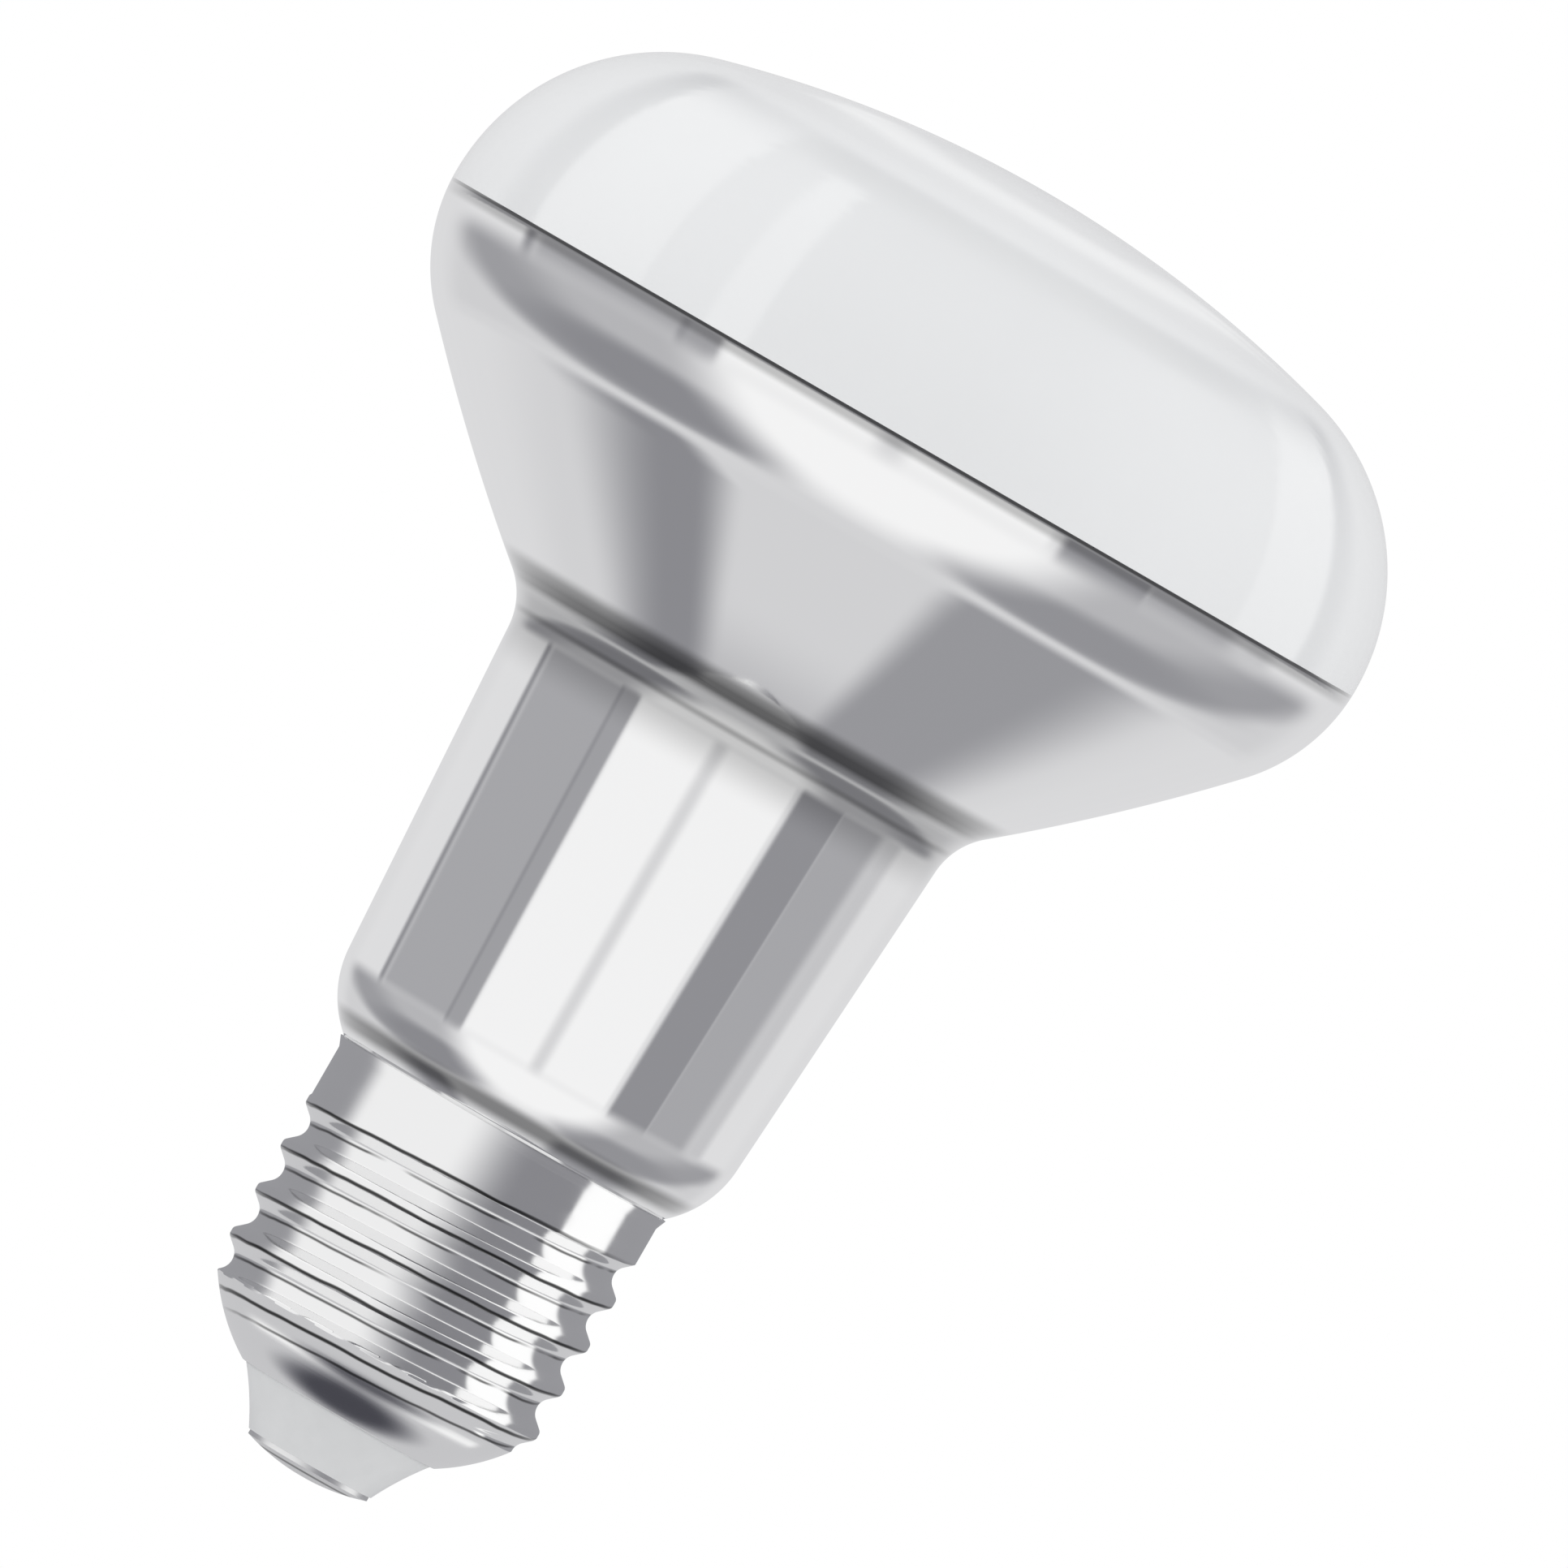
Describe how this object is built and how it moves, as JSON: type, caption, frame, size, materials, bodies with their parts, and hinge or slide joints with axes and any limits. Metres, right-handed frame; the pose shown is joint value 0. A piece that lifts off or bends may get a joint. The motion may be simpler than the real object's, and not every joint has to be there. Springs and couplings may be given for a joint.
{
  "type": "reflector bulb",
  "caption": "Reflector bulb: mirrored glass neck and cone under a white crown, with an E27 screw cap, light grey insulator and centre contact.",
  "frame": {"origin": "lowest point of the centre contact, on the bulb's axis", "axes": "+Z along the bulb's axis from the cap to the crown; the thread's top turn is full at +X and runs out over the next 0.3 turn towards +Y"},
  "size_m": [0.0744, 0.0744, 0.1063],
  "materials": {
    "bulb_glass": "glossy blown glass, silvered inside below the widest line and diffusing white above it",
    "cap_metal": "bright drawn and rolled sheet",
    "insulator": "light grey moulding with a soft gloss",
    "contact_metal": "dull tinned metal, darker at its edge"
  },
  "bodies": {
    "root": {"glass_bulb": "bulb_glass", "screw_shell": "cap_metal", "cap_insulator": "insulator", "centre_contact": "contact_metal"}
  },
  "joints": []
}
